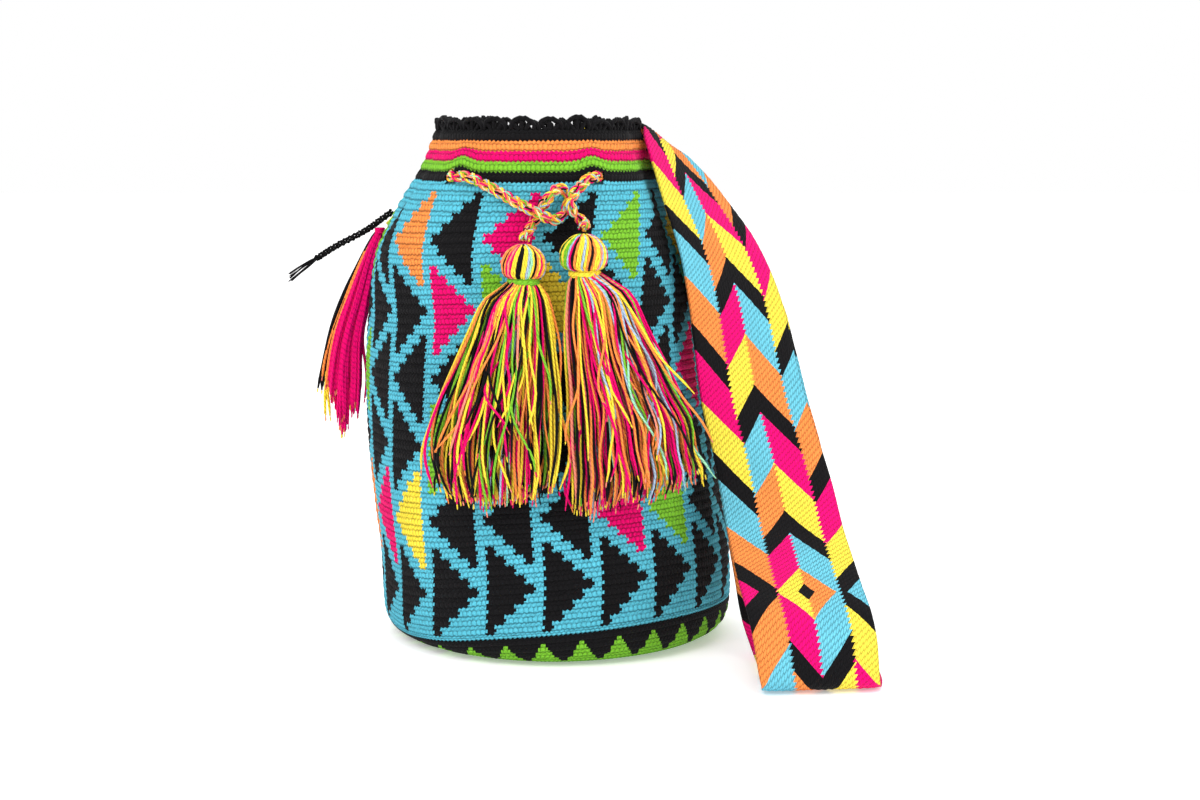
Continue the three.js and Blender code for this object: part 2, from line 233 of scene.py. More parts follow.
def finish_yarn(net, shader, colour, shade, height, bump_mm, fibre_scale=1400, fibre_height=0.25):
    """Colour and bump of a yarn: shade darkens its grooves with painted shade, and height raises its
    surface.
    """
    group = net.node("ShaderNodeGroup")
    group.node_tree = fuzz
    # painted shade: the base colour is multiplied darker by shade in the grooves
    net.put(group.inputs["Color"], net.mix(1.0, colour, net.grey(shade), "MULTIPLY"))
    net.put(group.inputs["Fibre scale"], fibre_scale)
    net.put(shader.inputs["Base Color"], group.outputs["Color"])
    raised = net.math("MULTIPLY", group.outputs["Height"], fibre_height)
    raised = net.math("ADD", height, raised)
    net.put(shader.inputs["Normal"], net.bump(raised, bump_mm * MM, 0.9))


# %% [markdown]
# ## Mesh helpers
# Soft things are easiest to write as rows of points. `grid_faces` joins rows into quads, and
# `make_piece` turns points, faces, UVs and colours into an object that rides on its body.

# %% Mesh helpers
def grid_faces(rows, columns, first=0, close=False):
    """Quads between `rows` rows of `columns` points, closed round if `close`."""
    i = np.arange(rows - 1)[:, None] * columns
    j = np.arange(columns if close else columns - 1)[None, :]
    k = (j + 1) % columns
    return (np.stack([i + j, i + k, i + columns + k, i + columns + j], -1).reshape(-1, 4) + first)


def make_piece(name, points, faces, body="bag", uv=None, colours=None, smooth=True):
    """points in mm; uv and colours are per face corner, in the order of faces."""
    mesh = bpy.data.meshes.new(name)
    points = np.asarray(points, float) * MM
    faces = [np.asarray(f, int) for f in (faces if isinstance(faces, list) else [faces])]
    loops = np.concatenate([f.ravel() for f in faces])
    sizes = np.concatenate([np.full(len(f), f.shape[1]) for f in faces])
    mesh.vertices.add(len(points))
    mesh.vertices.foreach_set("co", points.ravel())
    mesh.loops.add(len(loops))
    mesh.loops.foreach_set("vertex_index", loops)
    mesh.polygons.add(len(sizes))
    mesh.polygons.foreach_set("loop_start", np.concatenate([[0], np.cumsum(sizes)[:-1]]))
    mesh.polygons.foreach_set("use_smooth", np.full(len(sizes), smooth))
    if uv is not None:
        mesh.uv_layers.new(name="yarn").uv.foreach_set("vector", np.asarray(uv, float).ravel())
    if colours is not None:
        layer = mesh.color_attributes.new("colour", "FLOAT_COLOR", "CORNER")
        layer.data.foreach_set("color", np.asarray(colours, float).ravel())
    mesh.update(calc_edges=True)
    mesh.validate()
    piece = bpy.data.objects.new(name, mesh)
    bpy.context.scene.collection.objects.link(piece)
    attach(piece, body)
    print(f"{name}: {len(points)} points, {sum(2 if s == 4 else 1 for s in sizes)} triangles")
    return piece


def curve_knots(points, per_span):
    """A centripetal Catmull-Rom curve through points, with the same number in every span."""
    p = np.asarray(points, float)
    p = np.vstack([2 * p[0] - p[1], p, 2 * p[-1] - p[-2]])
    fine = []
    for a, b, c, d in zip(p, p[1:], p[2:], p[3:]):
        t1 = max(np.linalg.norm(b - a), 1e-6) ** 0.5
        t2 = t1 + max(np.linalg.norm(c - b), 1e-6) ** 0.5
        t3 = t2 + max(np.linalg.norm(d - c), 1e-6) ** 0.5
        for t in np.linspace(t1, t2, per_span, endpoint=False):
            ab = (t1 - t) / t1 * a + t / t1 * b
            bc = (t2 - t) / (t2 - t1) * b + (t - t1) / (t2 - t1) * c
            cd = (t3 - t) / (t3 - t2) * c + (t - t2) / (t3 - t2) * d
            abc = (t2 - t) / t2 * ab + t / t2 * bc
            bcd = (t3 - t) / (t3 - t1) * bc + (t - t1) / (t3 - t1) * cd
            fine.append((t2 - t) / (t2 - t1) * abc + (t - t1) / (t2 - t1) * bcd)
    fine.append(p[-2])
    return np.array(fine)


def distance_along(path):
    return np.concatenate([[0], np.cumsum(np.linalg.norm(np.diff(path, axis=0), axis=1))])


def smooth_curve(points, count):
    """`count` points evenly spaced along a smooth curve through `points`."""
    fine = curve_knots(points, 24)
    far = distance_along(fine)
    at = np.linspace(0, far[-1], count)
    return np.stack([np.interp(at, far, fine[:, k]) for k in range(3)], -1)


def frames_along(path):
    """Tangent and two directions across it, carried along the path without twisting."""
    tangent = np.gradient(path, axis=0)
    tangent /= np.linalg.norm(tangent, axis=1)[:, None]
    side = np.cross(tangent[0], (0, 0, 1) if abs(tangent[0][2]) < 0.9 else (1, 0, 0))
    sides = []
    for t in tangent:
        side = side - t * (side @ t)
        side /= np.linalg.norm(side)
        sides.append(side)
    sides = np.array(sides)
    return tangent, sides, np.cross(tangent, sides)


class Strands:
    """Collects many thin tubes of yarn into one mesh."""

    def __init__(self):
        self.points, self.quads, self.caps, self.uv, self.cap_uv = [], [], [], [], []
        self.colour, self.cap_colour, self.count = [], [], 0

    def add(self, path, radius, colour, sides=5, round_ends=True):
        """A tube along path. radius is one number or one for each point of the path."""
        path = np.asarray(path, float)
        n = len(path)
        radius = np.broadcast_to(np.asarray(radius, float), (n,)).copy()
        if round_ends:
            radius[0] *= 0.6
            radius[-1] *= 0.6
        _, a, b = frames_along(path)
        angle = np.arange(sides) / sides * TAU
        ring = (np.cos(angle)[None, :, None] * a[:, None] + np.sin(angle)[None, :, None] * b[:, None])
        self.points.append((path[:, None] + ring * radius[:, None, None]).reshape(-1, 3))
        quads = grid_faces(n, sides, self.count, close=True)
        self.quads.append(quads)
        far = distance_along(path)
        u = np.arange(sides)[None, :] / sides + np.zeros((n - 1, 1))
        low, high = far[:-1, None] + 0 * u, far[1:, None] + 0 * u
        corners = np.stack([np.stack([u, low], -1), np.stack([u + 1 / sides, low], -1),
                            np.stack([u + 1 / sides, high], -1), np.stack([u, high], -1)], 2)
        self.uv.append(corners.reshape(-1, 2))
        colour = np.asarray(colour, float)
        if colour.ndim == 1:
            self.colour.append(np.tile(colour, (len(quads) * 4, 1)))
            ends = (colour, colour)
        else:
            self.colour.append(np.repeat(colour[:-1], sides * 4, axis=0))
            ends = (colour[0], colour[-1])
        for start, order, paint in ((0, -1, ends[0]), ((n - 1) * sides, 1, ends[1])):
            self.caps.append((np.arange(sides)[::order] + start + self.count)[None, :])
            self.cap_uv.append(np.zeros((sides, 2)))
            self.cap_colour.append(np.tile(paint, (sides, 1)))
        self.count += n * sides

    def make(self, name, body):
        caps = {}
        for cap, uv, colour in zip(self.caps, self.cap_uv, self.cap_colour):
            caps.setdefault(cap.shape[1], []).append((cap, uv, colour))
        faces, uv, colour = [np.vstack(self.quads)], [np.vstack(self.uv)], [np.vstack(self.colour)]
        for group in caps.values():
            faces.append(np.vstack([g[0] for g in group]))
            uv.append(np.vstack([g[1] for g in group]))
            colour.append(np.vstack([g[2] for g in group]))
        return make_piece(name, np.vstack(self.points), faces, body, np.vstack(uv), np.vstack(colour))


# %% [markdown]
# ## Yarn material
# A strand of yarn is a few plies twisted together. The strands carry their own colour, and their
# UV runs once round the strand and along it in millimetres, so slanted waves in that UV give the
# twist at its real size on every strand, whichever way it hangs. The same waves paint shade into
# the grooves between the plies.

# %% Yarn material
def yarn_material(name, twist=3.2, plies=2.0, bump_mm=0.25, shade_depth=0.5):
    made, net, shader = new_material(name)
    uv = net.node("ShaderNodeSeparateXYZ")
    net.put(uv.inputs[0], net.node("ShaderNodeUVMap", uv_map="yarn").outputs[0])
    turn = net.math("ADD", net.math("MULTIPLY", uv.outputs[0], plies),
                    net.math("DIVIDE", uv.outputs[1], twist))
    wave = net.math("ABSOLUTE", net.math("SINE", net.math("MULTIPLY", turn, math.pi)))
    colour = net.node("ShaderNodeAttribute", attribute_name="colour").outputs["Color"]
    # painted shade: the colour is darkened in the grooves between the plies
    groove_shade = net.remap(wave, 0.0, 0.55, 1 - shade_depth, 1.0)
    height = net.math("POWER", wave, 0.5)
    finish_yarn(net, shader, colour, groove_shade, height, bump_mm, fibre_height=0.5)
    return made


strand_yarn = yarn_material("strand yarn")
print("material:", strand_yarn.name)


def dress(piece, material, node):
    """Gives a piece its material, and hides the node of model.glb that it stands for."""
    piece.data.materials.append(material)
    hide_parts(node)

# %% [markdown]
# ## The bag's surface
# The wall is a flat round base that turns up into a nearly straight wall and narrows to a
# gathered mouth. `on_bag` gives a point of it from an angle and a height; the drawstring's pleats
# are waves round the sides and the back that fade out downwards.

# %% Shape of the body
RIM_HEIGHT = 300.0
WALL = 3.0
PLEATS = 12
PLEAT_DEPTH = 3.0
MOUTH_SPREAD = 0.665
HALF_WIDTH = [(0, 84), (2.5, 95), (9, 102.5), (24, 105), (60, 105), (107, 103.7), (138, 102.2),
              (168, 100), (199, 96.8), (229, 91), (241, 86), (256, 79), (270, 71.7), (279, 67.5),
              (288, 64), (300, 60)]
HALF_DEPTH = [(0, 97), (2.5, 104.5), (9, 109.5), (24, 111), (60, 109.5), (138, 104.5), (199, 99.5),
              (229, 95), (256, 88), (270, 84), (288, 79), (300, 76)]
CENTRE_X = [(0, 0), (46, -1), (77, -5), (107, -9), (138, -12), (168, -14), (199, -15),
            (229, -16.5), (256, -14.7), (279, -11.6), (300, -11)]


def through(rows, z):
    """A value that runs smoothly through rows of (height, value)."""
    at, value = np.array(rows, float).T
    slope = np.empty_like(value)
    slope[1:-1] = (value[2:] - value[:-2]) / (at[2:] - at[:-2])
    slope[0] = (value[1] - value[0]) / (at[1] - at[0])
    slope[-1] = (value[-1] - value[-2]) / (at[-1] - at[-2])
    z = np.clip(z, at[0], at[-1])
    i = np.clip(np.searchsorted(at, z, side="right") - 1, 0, len(at) - 2)
    h = at[i + 1] - at[i]
    t = (z - at[i]) / h
    return ((2 * t**3 - 3 * t**2 + 1) * value[i] + (t**3 - 2 * t**2 + t) * h * slope[i]
            + (3 * t**2 - 2 * t**3) * value[i + 1] + (t**3 - t**2) * h * slope[i + 1])


def ease(low, high, x):
    t = np.clip((x - low) / (high - low), 0, 1)
    return t * t * (3 - 2 * t)


def pleat_depth(z):
    return PLEAT_DEPTH * ease(205, 285, z)


def pleat(phi, z):
    """phi is the angle from the front, positive towards -X."""
    side = ease(52, 78, np.abs(np.degrees((phi + math.pi) % TAU - math.pi)))
    wound = (phi + math.pi) % TAU - math.pi
    uneven = 0.7 * np.sin(3 * wound + 1) + 0.4 * np.sin(7 * wound)
    return pleat_depth(z) * side * (np.cos(PLEATS * wound + uneven) - 0.5)


def on_bag(phi, z, out=0.0, pleated=True):
    phi, z, out = np.broadcast_arrays(*(np.asarray(v, float) for v in (phi, z, out)))
    a, b = through(HALF_WIDTH, z), through(HALF_DEPTH, z)
    r = out + (pleat(phi, z) if pleated else 0)
    n = np.hypot(np.sin(phi) / a, np.cos(phi) / b)
    x = through(CENTRE_X, z) - np.sin(phi) * (a + r / (a * n))
    y = -np.cos(phi) * (b + r / (b * n))
    return np.stack([x, y, z + 0 * x], -1)


def stitch_angle(s, z):
    """The front stitches spread at the mouth, and those of the sides are gathered."""
    k = MOUTH_SPREAD * np.clip((z - 190) / (RIM_HEIGHT - 190), 0, 1) ** 1.25
    turn = (s + math.pi) % TAU - math.pi
    return s + k * turn * ease(math.radians(150), math.radians(50), np.abs(turn))


print("front of the rim at", on_bag(0.0, RIM_HEIGHT).round(1), "mm")

# %% [markdown]
# ## Drawstring
# The cord is braided from four thick plies of mixed yarn. Its route goes from the left tassel
# over the wall, in through an eyelet, round the inside of the mouth, out and in again at the
# back, and out in front to the right tassel. The four plies wind round the route as helices.

# %% Drawstring route
CORD_DIAMETER = 6.0
EYELET_HEIGHT = 274.0
EYELET_LEFT, EYELET_RIGHT, EYELETS_BACK = math.radians(38), math.radians(-30), math.radians(160)
INSIDE = -(WALL + 1.5 * PLEAT_DEPTH + CORD_DIAMETER / 2 + 1.2)
OUTSIDE = PLEAT_DEPTH + CORD_DIAMETER / 2 + 1.2
LEFT_TAIL = [
    (-15.8, -107.4, 240), (-15, -103, 242.4), (-13, -98, 245.6), (-10.8, -94.4, 249.4),
    (-8.8, -92.2, 253.2), (-5.4, -94, 258.8), (-2, -95.4, 263.4), (2.2, -92.6, 267.4),
    (6.2, -88.4, 266.6), (7.6, -86.9, 261.9), (7, -89, 256.6), (4.4, -93.6, 252.2),
    (-0.4, -98, 250.8), (-7.3, -99, 253.9), (-18.5, -92.8, 259.2), (-29.7, -87.6, 265.2),
    (-41.2, -81.4, 271.2), (-48, -76.2, 273.8),
]
RIGHT_TAIL = [
    (19.5, -80.2, 273), (14, -86, 267.6), (10.5, -93.2, 262.8), (9.8, -96.2, 258.2),
    (12.2, -93.6, 253.8), (16, -93.4, 249.8), (17.6, -97, 248), (17.2, -103.4, 247.4),
    (16.9, -108, 246.4),
]


def round_the_mouth(start, end, out, count):
    return on_bag(np.linspace(start, end, count + 1), EYELET_HEIGHT, out, pleated=False)


degree = math.radians(1)
route = np.vstack([
    LEFT_TAIL,
    on_bag(EYELET_LEFT + 3 * degree, EYELET_HEIGHT, 1, False)[None],
    round_the_mouth(EYELET_LEFT + 12 * degree, EYELETS_BACK - 10 * degree, INSIDE, 12),
    on_bag(EYELETS_BACK, EYELET_HEIGHT, 0, False)[None],
    round_the_mouth(EYELETS_BACK + 10 * degree, 350 * degree - EYELETS_BACK, OUTSIDE, 3),
    on_bag(TAU - EYELETS_BACK, EYELET_HEIGHT, 0, False)[None],
    round_the_mouth(370 * degree - EYELETS_BACK, EYELET_RIGHT + 348 * degree, INSIDE, 12),
    on_bag(EYELET_RIGHT - degree, EYELET_HEIGHT, 1, False)[None],
    RIGHT_TAIL,
])
cord_line = smooth_curve(route, 1100)


# %% Braided plies
def ply_paths(line, plies, reach, pitch, weave=0.0, step=1.0):
    """Centre lines of plies that wind round a line. With weave, half of them wind the other way
    and each goes over one and under the next."""
    length = distance_along(line)[-1]
    count = int(length / step)
    line = smooth_curve(line[:: max(1, len(line) // 400)], count)
    _, a, b = frames_along(line)
    along = np.linspace(0, length, count)
    paths = []
    for ply in range(plies):
        way = -1 if weave and ply % 2 else 1
        share = ply // 2 / plies * 2 if weave else ply / plies
        turn = way * (along / pitch * TAU + share * TAU)
        r = reach + weave * way * np.sin(along / pitch * TAU * plies / 2)
        paths.append(line + (r * np.cos(turn))[:, None] * a + (r * np.sin(turn))[:, None] * b)
    return paths, along


HANK = ["yellow", "magenta", "orange", "cream", "black", "salmon", "mint", "magenta", "yellow",
        "orange", "yellow", "blue_grey", "salmon", "magenta", "orange", "lime"]
drawstring = Strands()
plies, along = ply_paths(cord_line, 4, 1.8, 21.0, weave=0.45)
for number, ply in enumerate(plies):
    for k, yarn in enumerate(ply_paths(ply, 4, 0.66, 12.0)[0]):
        drawstring.add(yarn, 0.54, YARN[HANK[number * 4 + k]], 5)
drawstring = drawstring.make("drawstring_braid", "bag")
dress(drawstring, strand_yarn, "drawstring")


# %% [markdown]
# ## Crochet pattern
# The bag is worked round and round, 120 stitches to a round. Each round has its row number from
# the rim down. Under the striped rim lie six tiers of triangles: 1 to 5 and back to 1 stitch wide,
# pointing left in one tier and right in the next. A few are bright, the rest are black.

# %% Which colour has a stitch
STITCHES = 120
RIM_ROWS, RIM_ROW = 5, 5.8
ZONE_ROWS, ZONE_ROW = 46, 5.55
BASE_ROWS = 21
RIM_COLOURS = ["black", "orange", "magenta", "lime", "black"]
BASE_COLOURS = ["lime", "lime", "lime", "turquoise", "turquoise", "black", "orange", "black",
                "turquoise", "turquoise", "magenta", "magenta", "turquoise", "turquoise", "black",
                "yellow", "yellow"]
BRIGHT = [
    {-10: "lime", -8: "orange", -6: "yellow", -4: "lime", -2: "orange", 0: "magenta", 2: "lime",
     4: "yellow", 6: "orange", 8: "magenta"},
    {-10: "yellow", -1: "magenta", 0: "lime", 1: "yellow", 8: "magenta", 9: "lime"},
    {-9: "orange", -4: "lime", 4: "magenta"},
    {-1: "lime", 9: "yellow"},
    {-8: "yellow", -7: "lime", -4: "orange", -3: "magenta", -2: "yellow", 2: "magenta", 3: "lime",
     7: "orange", 8: "magenta"},
    {},
]


def stitch_colour(index, row):
    """index counts stitches to the right from the front, row counts from the rim down."""
    if row < RIM_ROWS:
        return RIM_COLOURS[max(row, 0)]
    zone = row - RIM_ROWS
    if zone >= ZONE_ROWS:
        deep = zone - ZONE_ROWS
        if deep < 4:
            return "black"
        return BASE_COLOURS[deep - 4]
    motif, across = divmod(index, 6)
    motif = (motif + 10) % 20 - 10
    for tier in range(6):
        inside = zone - 1 - 7 * tier
        if 0 <= inside < 9:
            wide = 5 - abs(inside - 4)
            hit = 5 - wide <= across <= 4 if tier % 2 == 0 else across < wide
            if hit:
                odd = motif % 2 and tier == 0
                return "black" if odd else BRIGHT[tier].get(motif, "black")
    return "turquoise"


pattern = {}
for row in range(RIM_ROWS + ZONE_ROWS + BASE_ROWS):
    for index in range(-60, 60):
        pattern[index, row] = stitch_colour(index, row)
print({name: sum(1 for v in pattern.values() if v == name) for name in sorted(set(pattern.values()))})

# %% [markdown]
# ## Rounds from the rim to the middle of the base
# `round_places` says where a row lies: a height on the wall, then round the corner at the foot,
# then a share of the way in to the middle of the base.

# %% Row places
FOOT = 24.0
foot = np.linspace(FOOT, 0, 60)
foot_far = RIM_HEIGHT - FOOT + np.concatenate(
    [[0], np.cumsum(np.hypot(np.diff(through(HALF_WIDTH, foot)), np.diff(foot)))])
BASE_RADIUS = HALF_WIDTH[0][1]
zone_end = RIM_ROWS * RIM_ROW + (ZONE_ROWS - 1) * ZONE_ROW + 2.6      # the last row is pulled in
base_row = (foot_far[-1] + BASE_RADIUS - zone_end) / BASE_ROWS
SAG = [(-180, 0), (-120, 0), (-90, 2), (-55, 4), (-30, 3.5), (0, 0), (20, -4), (40, -10), (62, -12),
       (90, -6), (120, 0), (180, 0)]
print("rows round the base:", round(float(base_row), 2), "mm wide")


def row_distance(row):
    """Distance down the wall and in along the base, for rows counted from the rim."""
    row = np.asarray(row, float)
    last = RIM_ROWS + ZONE_ROWS
    rows = [0, RIM_ROWS, last - 1, last, last + 1, last + BASE_ROWS]
    return np.interp(row, rows, [0, RIM_ROWS * RIM_ROW, zone_end - 2.6, zone_end, zone_end + 4.6,
                                 foot_far[-1] + BASE_RADIUS])


def place_at(far):
    """Height, and share of the base's radius, at a distance."""
    z = np.interp(far, np.concatenate([[0], foot_far]), np.concatenate([[RIM_HEIGHT], foot]))
    return z, 1 - np.clip(far - foot_far[-1], 0, BASE_RADIUS - 1) / BASE_RADIUS


def row_lift(phi, z, share):
    """Rows sag on the left and rise a little on the right; the cord pulls them up at its eyelets."""
    degrees = np.degrees((phi + math.pi) % TAU - math.pi)
    lift = through(SAG, degrees) * (0.3 + 0.7 * ease(120, 55, z)) * ease(264, 225, z) * share
    for eyelet in (38, -30):
        near = np.exp(-((degrees - eyelet) / 6.5) ** 2)
        lift = lift + 3.2 * near * ease(297, 281, z) * ease(266, 277, z)
    return lift


def round_grid(rows, columns):
    """Points of the bag for each row and column, with outward normals."""
    x = np.linspace(-60, 60, columns + 1)
    s = -np.radians(3 * (x[None, :] - 3.4 - 0.075 * np.asarray(rows)[:, None]))
    far = np.broadcast_to(row_distance(rows)[:, None], s.shape)
    z, share = place_at(far)
    z, share = place_at(far - row_lift(stitch_angle(s, z), z, share))
    s = s + np.radians(3.0) * np.exp(-((np.degrees(s) - 44) / 14) ** 2) * ease(150, 80, z) * share
    points = on_bag(stitch_angle(s, z), z)
    centre = through(CENTRE_X, z)
    points[..., 0] = centre + (points[..., 0] - centre) * share
    points[..., 1] *= share
    round_about = np.concatenate([points[:, -2:-1], points, points[:, 1:2]], 1)
    across = round_about[:, 2:] - round_about[:, :-2]
    down = np.gradient(points, axis=0)
    normal = np.cross(down, across)
    normal /= np.linalg.norm(normal, axis=-1)[..., None] + 1e-9
    return points, normal


# %% [markdown]
# ## Crochet meshes
# Each piece starts as a flat grid with its own UVs. The grid is rolled round the bag, its columns
# and rows pushed in and out to form the stitches, and the edge where it meets is merged.
# A row's upper third leans to the right, so its colours lie a quarter stitch further right.

# %% Rolling a grid
def crochet_piece(name, rows, columns, points, per_row, uv_count=None):
    """rows: row number of each ring. One face is one cell; its colour comes from the pattern."""
    count = len(rows) - 1
    bpy.ops.mesh.primitive_grid_add(x_subdivisions=columns, y_subdivisions=count, size=2, calc_uvs=True)
    piece = bpy.context.object
    piece.name = name
    mesh = piece.data
    grid = np.empty(len(mesh.vertices) * 3)
    mesh.vertices.foreach_get("co", grid)
    grid = grid.reshape(-1, 3)
    column = np.rint((grid[:, 0] + 1) / 2 * columns).astype(int)
    ring = np.rint((1 - grid[:, 1]) / 2 * count).astype(int)
    mesh.vertices.foreach_set("co", (points[ring, column] * MM).ravel())
    uv = np.empty(len(mesh.loops) * 2)
    mesh.uv_layers[0].name = "yarn"
    mesh.uv_layers[0].data.foreach_get("uv", uv)
    uv = uv.reshape(-1, 2)
    face_uv = uv.reshape(-1, 4, 2).mean(1)
    face_column = np.floor(face_uv[:, 0] * columns).astype(int)
    face_ring = np.floor((1 - face_uv[:, 1]) * count).astype(int)
    row = np.floor(np.asarray(rows)[face_ring] + 1e-6).astype(int)
    part = face_ring % per_row
    step = columns // STITCHES
    shift = np.where((part == 0) & (per_row > 1), 1, 0)
    index = np.floor((face_column - shift) / step).astype(int) - 60
    index = (index + 60) % 120 - 60
    paint = np.array([YARN[pattern[i, max(r, 0)]] for i, r in zip(index.tolist(), row.tolist())])
    deep = np.asarray(rows)[face_ring] - RIM_ROWS - ZONE_ROWS
    from_middle = np.abs(((face_column + 0.5) / step - 0.6 * deep / 3) % 4 - 2)
    teeth = (deep >= 0.9) & (deep < 4) & (from_middle < 1.85 * np.clip((deep - 0.6) / 3.0, 0, 1))
    paint[teeth] = YARN["lime"]
    layer = mesh.color_attributes.new("colour", "FLOAT_COLOR", "CORNER")
    layer.data.foreach_set("color", np.repeat(paint, 4, axis=0).ravel())
    stitches = np.full(len(row), float(STITCHES)) if uv_count is None else uv_count(row)
    corner_ring = (1 - uv[:, 1]) * count
    uv[:, 0] *= np.repeat(stitches, 4)
    uv[:, 1] = np.interp(corner_ring, np.arange(count + 1), rows)
    mesh.uv_layers[0].data.foreach_set("uv", uv.ravel())
    bpy.ops.object.shade_smooth()
    bpy.ops.object.mode_set(mode="EDIT")
    bpy.ops.mesh.select_all(action="SELECT")
    bpy.ops.mesh.remove_doubles(threshold=1e-5)
    bpy.ops.mesh.normals_make_consistent(inside=False)
    bpy.ops.object.mode_set(mode="OBJECT")
    piece.select_set(False)
    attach(piece, "bag")
    print(f"{name}: {len(mesh.vertices)} points, {len(mesh.polygons)} faces")
    return piece


def cut_eyelets(piece):
    """Opens the stitches where the drawstring goes through."""
    points = np.array([v.co for v in piece.data.vertices]) / MM
    near = points[:, 2] > EYELET_HEIGHT - 12
    found = np.nonzero(near)[0]
    line = cord_line[::3]
    gap = np.min(np.linalg.norm(points[found][:, None] - line[None], axis=-1), axis=1)
    hole = set(found[gap < 2.9].tolist())
    edit = bmesh.new()
    edit.from_mesh(piece.data)
    edit.verts.ensure_lookup_table()
    bmesh.ops.delete(edit, geom=[edit.verts[i] for i in hole], context="VERTS")
    edit.to_mesh(piece.data)
    edit.free()
    print(piece.name, "opened by", len(hole), "points")


# %% Outer wall
COLUMNS = 480
LAST = RIM_ROWS + ZONE_ROWS
wall_rows = [row + part for row in range(LAST) for part in (0, 0.36, 0.7)] + [LAST]
points, normal = round_grid(np.array(wall_rows), COLUMNS)
relief = np.array([-0.5, 0.25, 0.35])[np.arange(len(wall_rows)) % 3][:, None]
tooth = np.where(np.arange(COLUMNS + 1) % 2 == 0, 0.1, -0.1)[None, :]
rng = np.random.default_rng(7)
uneven = rng.normal(0, 0.09, (len(wall_rows), COLUMNS + 1))
uneven[:, -1] = uneven[:, 0]
points = points + normal * (relief + np.where(relief > 0, tooth, 0) + uneven)[..., None]
points[..., 2] += np.where(relief < 0, tooth * 5, 0) + uneven * 1.2
lip_flat, lip_normal = round_grid(np.array([0.0, 1.0]), COLUMNS)
lip = lip_flat[0] - lip_normal[0] * 1.4
lip[:, 2] += 1.1
edge = lip_flat[0] - lip_normal[0] * (WALL - 0.2)
points = np.concatenate([edge[None], lip[None], points])
wall = crochet_piece("crochet_wall", [-0.5, -0.25] + wall_rows, COLUMNS, points, 3)
cut_eyelets(wall)
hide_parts("bag_body")

# %% Base
base_rows = [LAST + row + part for row in range(BASE_ROWS) for part in (0, 0.36, 0.7)][:-3]
points, normal = round_grid(np.array(base_rows), COLUMNS)
relief = np.array([-0.5, 0.2, 0.3])[np.arange(len(base_rows)) % 3][:, None]
points = points + normal * (relief + np.where(relief > 0, tooth, 0))[..., None]
points[..., 2] = np.maximum(points[..., 2] + 0.55 * ease(6, 0, points[..., 2]), 0.05)


def base_stitches(row):
    """The rounds of the base lose stitches towards its middle."""
    return np.clip(STITCHES - 9 * np.maximum(row - LAST - 7, 0), 9, STITCHES).astype(float)


base = crochet_piece("crochet_base", base_rows, COLUMNS, points, 3, base_stitches)
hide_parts("bag_body")

# %% Inside
inside_rows = list(range(LAST + BASE_ROWS - 1))
points, normal = round_grid(np.array(inside_rows, float), 240)
bumps = np.where(np.arange(241) % 2 == 0, 0.12, -0.12)[None, :, None]
points = points - normal * (WALL - 0.2 + bumps)
points[..., 2] = np.maximum(points[..., 2], 3.0)
inner_face = crochet_piece("crochet_inside", inside_rows, 240, points, 1)
cut_eyelets(inner_face)
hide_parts("bag_body")

# %% [markdown]
# ## Crochet material
# The UV of the bag counts stitches round it and rows down it, so the same few waves draw every
# stitch: upright bars in the lower two thirds of a row, leaning ones above, a soft groove between
# them and a deep one between rows. The waves raise the surface and paint shade into its grooves.

# %% Crochet material
crochet, net, shader = new_material("crochet")
uv = net.node("ShaderNodeSeparateXYZ")
net.put(uv.inputs[0], net.node("ShaderNodeUVMap", uv_map="yarn").outputs[0])
spot = net.node("ShaderNodeTexCoord").outputs["Object"]
wobble = net.math("SUBTRACT", net.noise(spot, 300, 2), 0.5)
stitch = net.math("ADD", uv.outputs[0], net.math("MULTIPLY", wobble, 0.3))
scallop = net.math("ABSOLUTE", net.math("SINE", net.math("MULTIPLY", stitch, TAU)))
wavy = net.math("ADD", uv.outputs[1], net.math("MULTIPLY", scallop, 0.11))
wavy = net.math("ADD", wavy, net.math("MULTIPLY", wobble, 0.16))
row_part = net.math("FRACT", net.math("ADD", wavy, 100))
upper = net.math("LESS_THAN", row_part, 0.42)
lean = net.math("MULTIPLY", net.math("MULTIPLY", row_part, 1.3), upper)
bars = net.math("ABSOLUTE", net.math("SINE", net.math("MULTIPLY", net.math("ADD", stitch, lean), TAU)))
bars = net.remap(net.math("POWER", bars, 0.5), 0.0, 1.0, 0.22, 1.0)
broken = net.remap(net.noise(spot, 420, 1), 0.35, 0.65)
deep = net.remap(net.math("PINGPONG", row_part, 0.5), 0.0, 0.12)
soft = net.remap(net.math("ABSOLUTE", net.math("SUBTRACT", row_part, 0.42)), 0.0, 0.1)
soft = net.math("MAXIMUM", soft, net.remap(broken, 0.0, 1.0, 0.1, 0.6))
plies = net.math("SINE", net.math("MULTIPLY", net.math("ADD", net.math("MULTIPLY", stitch, 4.0),
                                                       net.math("MULTIPLY", uv.outputs[1], 3.0)), TAU))
form = net.math("MULTIPLY", net.math("MULTIPLY", bars, deep), soft)
height = net.math("ADD", form, net.math("MULTIPLY", plies, 0.06))
colour = net.node("ShaderNodeAttribute", attribute_name="colour").outputs["Color"]
# painted shade: the remapped form darkens the colour in the grooves, while height raises the surface
finish_yarn(net, shader, colour, net.remap(form, 0.0, 0.75, 0.36, 1.0), height, 1.0)
for piece in (wall, base, inner_face):
    piece.data.materials.append(crochet)
print("material:", crochet.name)

# %% [markdown]
# ## Lace edge
# Forty small scallops stand on the rim. Each is a shell: an arch of yarn over three stitches,
# filled by a few strands that fan out from one stitch.

# %% Lace
lace = Strands()
rng = np.random.default_rng(3)


def rim_point(stitch_number, up, out=-1.2):
    s = -math.radians(3 * (stitch_number - 2.75))
    p = on_bag(stitch_angle(np.array(s), np.array(RIM_HEIGHT)), RIM_HEIGHT, out)
    p[..., 2] += up
    return p


